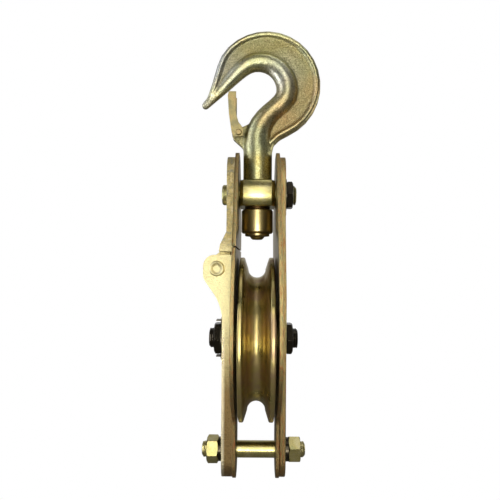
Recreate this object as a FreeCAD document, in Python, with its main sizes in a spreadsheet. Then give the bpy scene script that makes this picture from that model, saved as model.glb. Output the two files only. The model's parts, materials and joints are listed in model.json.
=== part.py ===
import FreeCAD, Part
import math
import os

import Sketcher

# Single sheave pulley block with a swivelling latched hook and a hinged side, in millimetres.
# Origin: centre of the hook's bowl. +Z up along the shank, +X along the sheave's axle, -Y the front.

V = FreeCAD.Vector

SIZES = dict(
    # Heights: the block hangs below the hook's bowl
    hook_rise=234.8,            # bowl centre above the sheave axle
    trunnion_rise=134.6,        # crosshead axis above the sheave axle
    hinge_rise=65.3,            # hinge pin above the sheave axle
    tie_drop=105.0,             # tie stud below the sheave axle
    # Hook
    bowl_radius=17.0,           # clear inner radius of the bowl
    side_bar=21.4,              # bar thickness beside the bowl
    shoulder_bar=15.0,          # bar thickness where the bowl runs out to the tip
    tip_bar=7.0,
    side_angle=-15.0,           # the bowl's arc starts here, measured from +X
    shoulder_angle=136.0,       # and ends here
    tip_run=46.0,               # straight run from the bowl to the tip
    root_drop=60.0,             # where the bar leaves the shank, below the bowl's centre
    neck_low_x=0.2,
    neck_low_z=-42.0,
    neck_low_heading=84.0,
    neck_low_bar=23.8,
    neck_mid_x=6.2,
    neck_mid_z=-29.5,
    neck_mid_heading=56.0,
    neck_mid_bar=21.6,
    neck_high_x=15.4,
    neck_high_z=-20.0,
    neck_high_heading=43.0,
    neck_high_bar=20.0,
    rim_centre_x=7.9,
    rim_centre_z=2.8,
    rim_radius=50.9,            # outer edge of the hook's rim
    rim_half_width=3.7,
    rim_half_thick=6.5,
    rim_start_angle=-62.0,      # the rim's arc starts here, measured from +X
    rim_end_angle=176.0,        # and ends here
    foot_low_x=9.6,             # the rim's foot on the shank
    foot_low_z=-61.0,
    foot_mid_x=12.2,
    foot_mid_z=-51.2,
    foot_mid_heading=58.0,
    foot_high_x=21.6,
    foot_high_z=-43.2,
    foot_high_heading=30.0,
    run_out_x=-44.0,            # the rim's run-out towards the tip
    run_out_z=-6.4,
    run_out_heading=-110.0,
    run_out_part=0.8,
    run_out_inset=0.45,         # the rim ends this far inside the bar's tip
    web_thick=7.0,
    shank_radius=13.5,
    stem_radius=10.0,           # shank inside the crosshead and nut
    stem_end_radius=6.4,
    stem_end=3.2,               # peened end below the collar nut
    # Latch
    latch_x=-17.9,
    latch_z=-43.3,
    latch_reach=38.0,
    latch_half=9.2,
    latch_sheet=1.5,
    latch_depth=6.6,
    rivet_radius=2.0,
    rivet_head_radius=3.0,
    rivet_head=1.2,
    latch_lean=9.1,             # how far the latch's back stands in front of its pivot
    latch_foot=4.3,             # half size of its ears round the pivot
    lug_half=3.5,
    lug_nose=5.5,
    lug_root=10.0,
    spring_wire=0.55,           # radius of the wire
    spring_radius=3.8,
    spring_pitch=1.15,
    spring_turns=2.0,
    short_leg=4.0,
    long_leg=9.0,
    # Crosshead
    trunnion_radius=20.0,
    trunnion_half_height=11.8,
    trunnion_half=16.2,
    trunnion_bevel=3.0,
    journal_radius=9.5,
    journal_left_end=33.0,
    trunnion_stud_radius=8.8,
    trunnion_nut_across=24.0,
    trunnion_nut_thick=6.1,
    trunnion_proud=3.1,         # stud past the nut
    trunnion_washer_radius=15.5,
    tab_sheet=1.2,
    collar_radius=14.8,
    collar_height=24.8,
    collar_step=2.5,
    collar_step_radius=11.5,
    thrust_thick=2.0,
    thrust_radius=11.8,
    # Cheeks
    gap_low=18.1,               # half the space between the cheeks at the sheave
    gap_high=16.8,              # and at the crosshead
    bend_low=40.0,
    bend_high=108.0,
    plate_thick=3.4,
    right_strap_thick=5.6,
    left_strap_thick=9.8,
    arm_strap_thick=7.6,
    strap_half=20.0,
    strap_top=170.0,
    strap_bottom=129.0,
    strap_round=19.4,
    plate_disc=71.0,            # half widths of the guard plate, and their heights above the axle
    plate_side=64.0,
    plate_side_top=84.0,
    plate_shoulder=42.0,
    plate_shoulder_top=145.0,
    plate_crown=15.0,
    plate_top=172.5,
    plate_tail=20.6,
    side_round=160.0,
    shoulder_round=55.0,
    crown_round=20.0,
    tail_round=17.0,
    root_round=12.0,
    plate_round_search=4.0,     # how near a corner's height its edge is looked for
    split_rise=83.6,            # where the arm's plate parts from the lower plate
    split_gap=1.2,
    # Hinge
    hinge_out=36.1,
    hinge_pin_radius=6.0,
    hinge_head_radius=7.1,
    hinge_head=3.2,
    head_dish=1.4,
    ear_out=48.6,
    ear_top=77.8,
    ear_low=56.6,
    ear_root=31.6,
    ear_round=10.4,
    clevis_half=9.6,
    clevis_floor=52.0,
    tongue_half=9.3,
    eye_radius=11.5,
    arm_bottom=80.6,
    tongue_lap=3.0,             # how far the tongue reaches up into the arm's foot
    flare_out=34.7,
    flare_mid_out=33.6,
    flare_mid=87.1,
    flare_top=98.6,
    slot_drop=3.6,              # how far the arm's slot reaches below the journal
    ring_thick=1.2,
    ring_width=2.6,
    ring_groove=0.8,
    rivet_low=113.5,
    rivet_high=157.5,
    arm_rivet_radius=4.0,
    # Axle
    axle_radius=12.5,
    axle_stud_radius=9.0,
    axle_nut_across=27.4,
    axle_nut_thick=6.6,
    axle_proud=4.8,
    axle_washer_radius=21.0,
    axle_washer_thick=1.5,
    tab_width=9.0,
    tab_rise=5.0,
    # Sheave
    sheave_radius=75.8,
    sheave_half=15.5,
    rim_land=4.2,
    groove_radius=8.2,
    groove_depth=18.8,
    rim_edge=0.8,
    rim_inset=4.0,
    hub_radius=26.0,
    hub_foot=29.0,
    web_edge=47.0,
    sheave_web_half=6.0,
    inner_rim_radius=56.0,
    bush_radius=16.0,
    hub_washer_radius=24.0,
    # Tie stud
    tie_radius=7.7,
    tie_stud_radius=7.0,
    tie_nut_across=22.0,
    tie_nut_thick=11.0,
    tie_washer_radius=10.8,
    tie_washer_thick=3.5,
    tie_proud=4.6,
    tie_lead=2.0,
    slit=1.6,
    # Fits and edges
    run_fit=0.1,                # radial, between parts that turn
    side_fit=0.1,               # endways, between parts that turn
    hole_fit=0.1,               # radial, round a clamped stud
    edge=1.2,
    lead=1.5,                   # chamfer on the end of a stud
)

doc = FreeCAD.newDocument("pulley_block")
BOWL_RINGS, TIP_RINGS, RIM_RINGS = 5, 3, 8      # stations of the hook's bar and rim
SPREAD_RINGS = 26               # rings that each of the two is drawn through
ROUNDING_DEG = (27, 53, 72)     # rings that round the hook's tip, as angles on a ball
NUT_FACE = 0.96                 # width of a nut's round face as a share of its width across flats
sheet = doc.addObject("Spreadsheet::Sheet", "dims")
for row, (alias, value) in enumerate(SIZES.items(), start=1):
    sheet.set("A%d" % row, alias)
    sheet.set("B%d" % row, str(value))
    sheet.setAlias("B%d" % row, alias)
doc.recompute()

nodes = []


def size(alias):
    return float(getattr(sheet, alias))


def gap_at(rise):
    """Expression for half the space between the cheeks at a height inside the bend."""
    drop = "(dims.gap_low - dims.gap_high) * (%s - dims.bend_low)" % rise
    return "(dims.gap_low - %s / (dims.bend_high - dims.bend_low))" % drop


AXLE_Z = "-dims.hook_rise"
TRUNNION_Z = "dims.trunnion_rise - dims.hook_rise"
RIGHT_FACE = "(dims.gap_low + dims.plate_thick + dims.right_strap_thick)"
LEFT_FACE = "(dims.gap_low + dims.plate_thick + dims.left_strap_thick)"
RIGHT_TOP_FACE = "(dims.gap_high + dims.plate_thick + dims.right_strap_thick)"


# Helpers for objects of the document

def keep(item, name):
    item.Label = name
    nodes.append(item)
    return item


def place(item, x="0", y="0", z="0"):
    for axis, value in zip("xyz", (x, y, z)):
        item.setExpression("Placement.Base." + axis, value)


def new_body(name, x="0", y="0", z="0"):
    body = doc.addObject("PartDesign::Body", name)
    place(body, x, y, z)
    return body


def sketch(body, role):
    item = body.newObject("Sketcher::SketchObject", body.Name + "_sketch")
    plane = next(f for f in body.Origin.OriginFeatures if f.Role == role)
    item.AttachmentSupport = [(plane, "")]
    item.MapMode = "FlatFace"
    return item


def pin_point(item, edge, end, start, x, y):
    """Ties a point of the sketch to two expressions, measured from the sketch's origin."""
    for kind, rough, value in (("DistanceX", start.x, x), ("DistanceY", start.y, y)):
        number = item.addConstraint(Sketcher.Constraint(kind, -1, 1, edge, end, rough))
        item.setExpression("Constraints[%d]" % number, value)


def polygon(item, corners):
    count = len(corners)
    first = item.GeometryCount
    rough = [V(10 * math.cos(math.tau * i / count), 10 * math.sin(math.tau * i / count), 0)
             for i in range(count)]
    for i in range(count):
        item.addGeometry(Part.LineSegment(rough[i], rough[(i + 1) % count]), False)
    for i in range(count):
        item.addConstraint(Sketcher.Constraint("Coincident", first + i, 2, first + (i + 1) % count, 1))
        pin_point(item, first + i, 1, rough[i], *corners[i])
    return item


def circle(item, x, y, radius):
    rough = V(1, 1, 0)
    edge = item.addGeometry(Part.Circle(rough, V(0, 0, 1), 5), False)
    pin_point(item, edge, 3, rough, x, y)
    number = item.addConstraint(Sketcher.Constraint("Radius", edge, 5.0))
    item.setExpression("Constraints[%d]" % number, radius)
    return item


def stadium(item, radius, low, high):
    """Round-ended slot along the sketch's upright axis, between two centres."""
    ends = V(0, 20, 0), V(0, -20, 0)
    up = V(0, 0, 1)
    top = item.addGeometry(Part.ArcOfCircle(Part.Circle(ends[0], up, 5), 0, math.pi), False)
    left = item.addGeometry(Part.LineSegment(V(-5, 20, 0), V(-5, -20, 0)), False)
    foot = item.addGeometry(Part.ArcOfCircle(Part.Circle(ends[1], up, 5), math.pi, math.tau), False)
    right = item.addGeometry(Part.LineSegment(V(5, -20, 0), V(5, 20, 0)), False)
    for one, two in ((top, left), (left, foot), (foot, right), (right, top)):
        item.addConstraint(Sketcher.Constraint("Tangent", one, 2, two, 1))
    item.addConstraint(Sketcher.Constraint("Equal", top, foot))
    pin_point(item, top, 3, ends[0], "0", high)
    pin_point(item, foot, 3, ends[1], "0", low)
    number = item.addConstraint(Sketcher.Constraint("Radius", top, 5.0))
    item.setExpression("Constraints[%d]" % number, radius)
    return item


def pad(body, profile, length, both_ways=True):
    feature = body.newObject("PartDesign::Pad", body.Name + "_pad")
    feature.Profile = profile
    feature.setExpression("Length", length)
    feature.Midplane = both_ways
    return feature


def pocket(body, profile, length=None):
    """Cuts both ways from the sketch, right through unless a length is given."""
    feature = body.newObject("PartDesign::Pocket", body.Name + "_pocket")
    feature.Profile = profile
    feature.Midplane = True
    if length is None:
        feature.Type = "ThroughAll"
    else:
        feature.setExpression("Length", length)
    return feature


def revolve(body, profile, axis, kind="PartDesign::Revolution"):
    feature = body.newObject(kind, body.Name + "_turned")
    feature.Profile = profile
    feature.ReferenceAxis = (profile, [axis])
    feature.Angle = 360
    return feature


def round_edges(body, kind, radius, chosen):
    """Fillets or chamfers the edges that the test picks from the body's present shape."""
    doc.recompute()
    base = body.Tip
    names = ["Edge%d" % (i + 1) for i, edge in enumerate(base.Shape.Edges) if chosen(edge)]
    feature = body.newObject("PartDesign::" + kind, body.Name + "_" + kind.lower())
    feature.Base = (base, names)
    feature.setExpression("Radius" if kind == "Fillet" else "Size", radius)
    return feature


def join(kind, name, *shapes):
    """Part boolean of a base and one or more tools."""
    feature = doc.addObject("Part::" + kind, name)
    if kind == "MultiFuse":
        feature.Shapes = list(shapes)
        feature.Refine = False
    else:
        feature.Base, feature.Tool = shapes
    return feature


def turned_x(name, corners, x="0", y="0", z="0"):
    """Body turned about its X axis from a half profile of (x, radius) corners."""
    body = new_body(name, x, y, z)
    revolve(body, polygon(sketch(body, "XY_Plane"), corners), "H_Axis")
    return body


def turned_y(name, corners, x="0", y="0", z="0"):
    """Body turned about its Y axis from a half profile of (radius, y) corners."""
    body = new_body(name, x, y, z)
    revolve(body, polygon(sketch(body, "XY_Plane"), corners), "V_Axis")
    return body


def turned_z(name, corners, x="0", y="0", z="0"):
    """Body turned about its Z axis from a half profile of (radius, z) corners."""
    body = new_body(name, x, y, z)
    revolve(body, polygon(sketch(body, "XZ_Plane"), corners), "V_Axis")
    return body


def side_profile(body, corners, width):
    """Pads an outline drawn in the front view evenly to both sides of the middle plane."""
    return pad(body, polygon(sketch(body, "XZ_Plane"), corners), width)


def along(edge, axis):
    """True for a straight edge along one axis."""
    ends = [vertex.Point for vertex in edge.Vertexes]
    if len(ends) < 2 or edge.Curve.TypeId != "Part::GeomLine":
        return False
    step = ends[1] - ends[0]
    return abs(abs(step.dot(axis)) - step.Length) < 1e-6


def ring_x(name, inner, outer, thick, x, z):
    """Flat washer across the X axis whose left face is at x."""
    corners = [("0", inner), (thick, inner), (thick, outer), ("0", outer)]
    return turned_x(name, corners, x, "0", z)


def hex_nut(name, across, thick, hole, x, z, turn):
    """Hexagon nut across the X axis with both faces chamfered; turn is the first corner's angle."""
    prism = new_body(name + "_prism", x, "0", z)
    reach = "%s / 2 / cos(30 deg)" % across
    corners = [("%s * cos(%d deg)" % (reach, turn + 60 * i), "%s * sin(%d deg)" % (reach, turn + 60 * i))
               for i in range(6)]
    face = polygon(sketch(prism, "YZ_Plane"), corners)
    circle(face, "0", "0", hole)
    pad(prism, face, thick, both_ways=False)
    flat = "%s / 2 * %s" % (across, NUT_FACE)
    slope = "(%s - %s) * tan(30 deg)" % (reach, flat)
    dome = turned_x(name + "_dome", [
        ("0", "0"), ("0", flat), (slope, reach), ("%s - %s" % (thick, slope), reach),
        (thick, flat), (thick, "0"),
    ], x, "0", z)
    return keep(join("Common", name, prism, dome), name)


# Hook: a round bar bent from the shank round the bowl to the tip, a rim outside it that runs from the
# shank to the tip too, and a thinner web between them

def named_station(step, across, deep):
    """Centre, heading and half sizes of one ring whose place and heading are named sizes."""
    return size(step + "_x"), size(step + "_z"), size(step + "_heading"), across, deep


def arc_station(x, z, reach, angle, across, deep):
    """Ring on an arc about a centre in the middle plane."""
    turn = math.radians(angle)
    return x + reach * math.cos(turn), z + reach * math.sin(turn), angle + 90.0, across, deep


def bar_stations():
    """Rings of the bar from the shank to the tip; headings are in degrees from +X."""
    bowl, side, shoulder = size("bowl_radius"), size("side_bar") / 2, size("shoulder_bar") / 2
    stations = [(0.0, -size("root_drop"), 90.0, size("shank_radius"), size("shank_radius"))]
    for step in ("neck_low", "neck_mid", "neck_high"):
        radius = size(step + "_bar") / 2
        stations.append(named_station(step, radius, radius))
    for i in range(BOWL_RINGS + 1):
        part = i / BOWL_RINGS
        angle = size("side_angle") + (size("shoulder_angle") - size("side_angle")) * part
        radius = side + (shoulder - side) * part
        stations.append(arc_station(0, 0, bowl + radius, angle, radius, radius))
    start_x, start_z, heading, radius, _ = stations[-1]
    way = math.radians(heading)
    for i in range(1, TIP_RINGS + 1):
        part = i / TIP_RINGS
        run = size("tip_run") * part
        thinner = radius + (size("tip_bar") / 2 - radius) * part
        stations.append((start_x + run * math.cos(way), start_z + run * math.sin(way), heading, thinner, thinner))
    return stations


def rim_stations():
    """Rings of the rim from the shank to the tip."""
    width, thick, part = size("rim_half_width"), size("rim_half_thick"), size("run_out_part")
    stations = [(size("foot_low_x"), size("foot_low_z"), 90.0, width, thick)]
    stations += [named_station(step, width, thick) for step in ("foot_mid", "foot_high")]
    first, last = size("rim_start_angle"), size("rim_end_angle")
    for i in range(RIM_RINGS + 1):
        angle = first + (last - first) * i / RIM_RINGS
        stations.append(arc_station(size("rim_centre_x"), size("rim_centre_z"), size("rim_radius") - width, angle,
                                    width, thick))
    stations.append(named_station("run_out", width * part, thick * part))
    tip_x, tip_z, _, tip_radius, _ = bar_stations()[-1]
    inset = size("run_out_inset")
    stations.append((tip_x + inset, tip_z - inset, size("run_out_heading"),
                     tip_radius - 3 * inset, tip_radius - 2.5 * inset))
    return stations


def spread(stations):
    """Rings spaced evenly along the smooth line through the given ones."""
    line = Part.BSplineCurve()
    centres = [V(station[0], 0, station[1]) for station in stations]
    line.interpolate(centres)
    marks = [line.parameter(centre) for centre in centres]
    rings, leg = [], 0
    for i in range(SPREAD_RINGS + 1):
        at = marks[0] + (marks[-1] - marks[0]) * i / SPREAD_RINGS
        while leg < len(marks) - 2 and at > marks[leg + 1]:
            leg += 1
        part = (at - marks[leg]) / (marks[leg + 1] - marks[leg])
        point, way = line.value(at), line.tangent(at)[0]
        across, deep = [one + (two - one) * part for one, two in zip(stations[leg][3:], stations[leg + 1][3:])]
        rings.append((point.x, point.z, math.degrees(math.atan2(way.z, way.x)), across, deep))
    rings[0] = rings[0][:2] + (90.0,) + rings[0][3:]
    return rings


def rounded_end(rings):
    """The rings with a few shrinking ones added that round the last one off."""
    x, z, heading, radius, _ = rings[-1]
    way = math.radians(heading)
    return rings + [(x + radius * math.sin(turn) * math.cos(way), z + radius * math.sin(turn) * math.sin(way), heading,
                     radius * math.cos(turn), radius * math.cos(turn)) for turn in map(math.radians, ROUNDING_DEG)]


def oval_ring(x, z, heading, across, deep):
    """Section that stands square to a path in the middle plane: half its size across it, and along Y."""
    way = math.radians(heading)
    centre = V(x, 0, z)
    side = V(-math.sin(way), 0, math.cos(way)) * across
    front = V(0, deep, 0)
    if across == deep:
        halves = [Part.Arc(centre + side, centre + front, centre - side),
                  Part.Arc(centre - side, centre - front, centre + side)]
    else:
        whole = Part.Ellipse(centre + front, centre + side, centre)
        halves = [Part.ArcOfEllipse(whole, 0, math.pi), Part.ArcOfEllipse(whole, math.pi, math.tau)]
    return Part.Wire([half.toShape() for half in halves])


def bent_solid(name, rings):
    bent = doc.addObject("Part::Feature", name)
    bent.Shape = Part.makeLoft([oval_ring(*ring) for ring in rings], True, True)
    return bent


def web_solid(bar_rings, rim_rings):
    """Flat web between the middle lines of the bar and the rim, short of the tip."""
    loop = [V(ring[0], 0, ring[1]) for ring in bar_rings[:-3] + rim_rings[-3::-1]]
    face = Part.Face(Part.makePolygon(loop + loop[:1]))
    thick = V(0, size("web_thick"), 0)
    face.translate(thick * -0.5)
    web = doc.addObject("Part::Feature", "hook_web")
    web.Shape = face.extrude(thick)
    return web


def build_hook():
    bar_rings, rim_rings = spread(bar_stations()), spread(rim_stations())
    bar = bent_solid("hook_bar", rounded_end(bar_rings))
    rim = bent_solid("hook_rim", rim_rings)
    web = web_solid(bar_rings, rim_rings)

    lug = new_body("hook_lug", "dims.latch_x", "0", "dims.latch_z")
    side_profile(lug, [
        ("dims.lug_root", "dims.lug_root"), ("0", "dims.lug_nose"), ("-dims.lug_nose * 0.8", "dims.lug_nose * 0.3"),
        ("-dims.lug_nose", "-dims.lug_nose * 0.8"), ("dims.lug_nose * 0.8", "-dims.lug_root * 1.35"),
        ("dims.lug_root * 1.25", "-dims.lug_root * 1.5"),
    ], "2 * dims.lug_half")
    pocket(lug, circle(sketch(lug, "XZ_Plane"), "0", "0", "dims.rivet_radius"))
    bottom = "(dims.trunnion_rise - dims.hook_rise + dims.trunnion_half_height + dims.side_fit)"
    stem_low = ("(dims.trunnion_rise - dims.hook_rise - dims.trunnion_half_height - 2 * dims.side_fit"
                " - dims.thrust_thick - dims.collar_height)")
    shank_body = turned_z("hook_shank", [
        ("0", "-dims.root_drop"), ("dims.shank_radius", "-dims.root_drop"),
        ("dims.shank_radius", bottom + " + dims.edge"), ("dims.shank_radius - dims.edge", bottom),
        ("dims.stem_radius", bottom), ("dims.stem_radius", stem_low),
        ("dims.stem_end_radius", stem_low), ("dims.stem_end_radius", stem_low + " - dims.stem_end * 0.5"),
        ("dims.stem_end_radius * 0.7", stem_low + " - dims.stem_end"), ("0", stem_low + " - dims.stem_end"),
    ])
    keep(join("MultiFuse", "hook", shank_body, bar, rim, web, lug), "hook")


def build_latch():
    at = ("dims.latch_x", "0", "dims.latch_z")
    latch = new_body("latch", *at)
    reach = "dims.latch_reach"
    depth = "dims.latch_depth"
    waist = reach + " * 0.45"
    back, front = "dims.latch_lean", "(%s - dims.latch_lean)" % depth
    foot = "dims.latch_foot"
    side_profile(latch, [
        ("-%s * 1.12" % back, reach + " * 0.9"), ("-%s * 1.03" % back, reach), (front, reach), (front, waist),
        ("0", reach + " * 0.25"), (foot, foot + " * 0.9"), (foot, "-%s * 0.8" % foot), ("-" + foot, "-" + foot),
        ("-%s * 1.5" % foot, "0"), ("-" + back, waist),
    ], "2 * dims.latch_half")
    inside = sketch(latch, "XZ_Plane")
    sheet_x, far = "dims.latch_sheet", "2 * dims.latch_lean"
    over, tongue, web_low = reach + " * 1.1", reach + " * 0.87", reach + " * 0.13"
    polygon(inside, [
        ("-" + far, over), ("-" + far, tongue), ("%s - %s * 1.1" % (sheet_x, back), tongue),
        ("%s - %s" % (sheet_x, back), waist), ("%s - %s * 0.76" % (sheet_x, back), web_low), ("-" + far, web_low),
        ("-" + far, "-" + far), (far, "-" + far), (far, over),
    ])
    pocket(latch, inside, "2 * (dims.latch_half - dims.latch_sheet)")
    pocket(latch, circle(sketch(latch, "XZ_Plane"), "0", "0", "dims.rivet_radius + dims.run_fit"))
    keep(latch, "latch")

    head = "dims.latch_half + dims.side_fit"
    pin, brim = "dims.rivet_radius", "dims.rivet_head_radius"
    half = [(pin, head), (brim, head), (brim + " * 0.7", head + " + dims.rivet_head"),
            ("0", head + " + dims.rivet_head")]
    mirror = [(radius, "-(%s)" % y) for radius, y in reversed(half)]
    keep(turned_y("latch_rivet", half + mirror, *at), "latch_rivet")

    spring = doc.addObject("Part::Feature", "latch_spring")
    spring.Shape = spring_shape()
    start = size("lug_half") + size("spring_wire") + 2 * size("run_fit")
    turn = FreeCAD.Rotation(V(0, 1, 0), 180).multiply(FreeCAD.Rotation(V(1, 0, 0), -90))
    spring.Placement = FreeCAD.Placement(V(size("latch_x"), start, size("latch_z")), turn)
    keep(spring, "latch_spring")


def spring_shape():
    """Torsion spring about its own Z axis: a coil of round wire with a straight leg at each end."""
    height = size("spring_pitch") * size("spring_turns")
    coil = Part.makeHelix(size("spring_pitch"), height, size("spring_radius")).Edges
    first, last = coil[0], coil[-1]
    low, low_way = first.valueAt(first.FirstParameter), first.tangentAt(first.FirstParameter)
    high, high_way = last.valueAt(last.LastParameter), last.tangentAt(last.LastParameter)
    low_leg = Part.makeLine(low - low_way * size("short_leg"), low)
    high_leg = Part.makeLine(high, high + high_way * size("long_leg"))
    path = Part.Wire([low_leg] + coil + [high_leg])
    section = Part.Wire(Part.makeCircle(size("spring_wire"), low - low_way * size("short_leg"), low_way))
    return path.makePipeShell([section], True, True)


# Crosshead, with the parts that hold the hook in it and it in the cheeks

def build_crosshead():
    washer_top = "(-dims.trunnion_half_height - dims.side_fit)"
    nut_top = "(%s - dims.thrust_thick)" % washer_top
    nut_low = "(%s - dims.collar_height)" % nut_top
    keep(turned_z("thrust_washer", [
        ("dims.stem_radius", washer_top), ("dims.thrust_radius", washer_top),
        ("dims.thrust_radius", nut_top), ("dims.stem_radius", nut_top),
    ], z=TRUNNION_Z), "thrust_washer")
    keep(turned_z("collar_nut", [
        ("dims.stem_radius", nut_top), ("dims.collar_radius - dims.edge", nut_top),
        ("dims.collar_radius", nut_top + " - dims.edge"),
        ("dims.collar_radius", nut_low + " + dims.collar_step + dims.edge"),
        ("dims.collar_radius - dims.edge", nut_low + " + dims.collar_step"),
        ("dims.collar_step_radius", nut_low + " + dims.collar_step"),
        ("dims.collar_step_radius", nut_low), ("dims.stem_radius", nut_low),
    ], z=TRUNNION_Z), "collar_nut")

    face = "(%s + dims.side_fit)" % RIGHT_TOP_FACE
    washer_end = "(%s + dims.tab_sheet)" % face
    stud_end = "(%s + dims.trunnion_nut_thick + dims.trunnion_proud)" % washer_end
    trunnion = turned_x("trunnion", [
        ("-dims.journal_left_end", "0"), ("-dims.journal_left_end", "dims.journal_radius - dims.edge"),
        ("-dims.journal_left_end + dims.edge", "dims.journal_radius"), ("-dims.trunnion_half", "dims.journal_radius"),
        ("-dims.trunnion_half", "dims.trunnion_radius - dims.trunnion_bevel"),
        ("-dims.trunnion_half + dims.trunnion_bevel", "dims.trunnion_radius"),
        ("dims.trunnion_half - dims.trunnion_bevel", "dims.trunnion_radius"),
        ("dims.trunnion_half", "dims.trunnion_radius - dims.trunnion_bevel"),
        ("dims.trunnion_half", "dims.journal_radius"), (face, "dims.journal_radius"),
        (face, "dims.trunnion_stud_radius"), (stud_end + " - 2 * dims.lead", "dims.trunnion_stud_radius"),
        (stud_end, "dims.trunnion_stud_radius - dims.lead"), (stud_end, "0"),
    ], z=TRUNNION_Z)
    flats = sketch(trunnion, "YZ_Plane")
    wide, tall, limit = "1.2 * dims.trunnion_radius", "dims.trunnion_half_height", "2 * dims.trunnion_radius"
    polygon(flats, [("-" + wide, tall), (wide, tall), (wide, limit), ("-" + wide, limit)])
    polygon(flats, [("-" + wide, "-" + limit), (wide, "-" + limit), (wide, "-" + tall), ("-" + wide, "-" + tall)])
    pocket(trunnion, flats)
    bore = sketch(trunnion, "XY_Plane")
    pocket(trunnion, circle(bore, "0", "0", "dims.stem_radius + dims.run_fit"))
    keep(trunnion, "trunnion")

    washer = ring_x("trunnion_tab_washer", "dims.trunnion_stud_radius", "dims.trunnion_washer_radius",
                    "dims.tab_sheet", face, TRUNNION_Z)
    tab = sketch(washer, "YZ_Plane")
    half, low, high = "dims.tab_width / 3", "-dims.trunnion_washer_radius * 1.2", "-dims.trunnion_stud_radius * 1.2"
    polygon(tab, [("-" + half, low), (half, low), (half, high), ("-" + half, high)])
    pad(washer, tab, "dims.tab_sheet", both_ways=False)
    keep(washer, "trunnion_tab_washer")
    hex_nut("trunnion_nut", "dims.trunnion_nut_across", "dims.trunnion_nut_thick",
            "dims.trunnion_stud_radius", washer_end, TRUNNION_Z, 0)


# Cheeks: an inner guard plate and an outer strap on each side, bent inward above the sheave

def strip(name, side, inner, outer):
    """Bent layer of one cheek as wide as the guard plate, between two depths from the inner face."""
    body = new_body(name, z=AXLE_Z)
    rises = ["-1.1 * dims.strap_bottom", "dims.bend_low", "dims.bend_high", "1.1 * dims.plate_top"]
    gaps = ["dims.gap_low", "dims.gap_low", "dims.gap_high", "dims.gap_high"]
    near = [("%s(%s + %s)" % (side, gap, inner), rise) for gap, rise in zip(gaps, rises)]
    back = [("%s(%s + %s)" % (side, gap, outer), rise) for gap, rise in zip(gaps, rises)]
    side_profile(body, near + back[::-1], "2.4 * dims.plate_disc")
    return body


def guard_outline(name):
    """Outline of a guard plate in the side view: disc, shoulders, neck and tail, as a thick slab."""
    body = new_body(name, z=AXLE_Z)
    deep = "6 * dims.gap_low"
    pad(body, circle(sketch(body, "YZ_Plane"), "0", "0", "dims.plate_disc"), deep)
    half = [("dims.plate_disc", "0"), ("dims.plate_side", "dims.plate_side_top"),
            ("dims.plate_shoulder", "dims.plate_shoulder_top"), ("dims.plate_crown", "dims.plate_top")]
    mirror = [("-" + y, z) for y, z in reversed(half)]
    pad(body, polygon(sketch(body, "YZ_Plane"), half + mirror), deep)
    tail = [("dims.plate_tail", "0"), ("dims.plate_tail", "-dims.strap_bottom"),
            ("-dims.plate_tail", "-dims.strap_bottom"), ("-dims.plate_tail", "0")]
    pad(body, polygon(sketch(body, "YZ_Plane"), tail), deep)

    def across_at(low, high):
        """Test for the corner edges that run through the slab between two heights."""
        return lambda edge: along(edge, V(1, 0, 0)) and low < edge.Vertexes[0].Z < high

    near = size("plate_round_search")
    for radius, rise in (("side_round", size("plate_side_top")), ("shoulder_round", size("plate_shoulder_top")),
                         ("crown_round", size("plate_top")), ("tail_round", -size("strap_bottom"))):
        round_edges(body, "Fillet", "dims." + radius, across_at(rise - near, rise + near))
    round_edges(body, "Fillet", "dims.root_round", across_at(-size("plate_disc"), -near))
    return body


def stud_holes(body, *holes):
    """Drills round holes across a cheek part; each is a height and a stud radius."""
    for rise, radius in holes:
        pocket(body, circle(sketch(body, "YZ_Plane"), "0", rise, radius))


JOURNAL = ("dims.trunnion_rise", "dims.journal_radius + dims.run_fit")
AXLE = ("0", "dims.axle_stud_radius + dims.hole_fit")
TIE = ("-dims.tie_drop", "dims.tie_stud_radius + dims.hole_fit")
RIVETS = (("dims.rivet_low", "dims.arm_rivet_radius"), ("dims.rivet_high", "dims.arm_rivet_radius"))


def journal_slot(body):
    slot = sketch(body, "YZ_Plane")
    stadium(slot, JOURNAL[1], "dims.trunnion_rise - dims.slot_drop", "dims.trunnion_rise")
    pocket(body, slot)


def trim(body, low, high):
    """Cuts away everything between two heights."""
    wide = "2 * dims.plate_disc"
    pocket(body, polygon(sketch(body, "YZ_Plane"), [("-" + wide, low), (wide, low), (wide, high), ("-" + wide, high)]))


def build_guard_plates():
    above, below = "dims.split_rise + dims.split_gap / 2", "dims.split_rise - dims.split_gap / 2"
    right = guard_outline("right_guard_outline")
    stud_holes(right, JOURNAL, AXLE, TIE)
    layer = strip("right_guard_strip", "", "0", "dims.plate_thick")
    keep(join("Common", "right_guard_plate", layer, right), "right_guard_plate")

    left = guard_outline("left_guard_outline")
    stud_holes(left, AXLE, TIE)
    trim(left, below, "2 * dims.plate_top")
    layer = strip("left_guard_strip", "-", "0", "dims.plate_thick")
    keep(join("Common", "left_guard_plate", layer, left), "left_guard_plate")

    arm = guard_outline("arm_guard_outline")
    trim(arm, "-2 * dims.plate_top", above)
    journal_slot(arm)
    stud_holes(arm, *RIVETS)
    layer = strip("arm_guard_strip", "-", "0", "dims.plate_thick")
    keep(join("Common", "arm_guard_plate", layer, arm), "arm_guard_plate")


def round_ends(body, rises):
    """Rounds a strap's ends, whose corner edges run across the strap at the given heights."""
    half = size("strap_half")

    def at_end(edge):
        point = edge.Vertexes[0]
        level = min(abs(point.Z - rise) for rise in rises) < 0.01
        return along(edge, V(1, 0, 0)) and level and abs(abs(point.Y) - half) < 0.01

    round_edges(body, "Fillet", "dims.strap_round", at_end)


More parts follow.
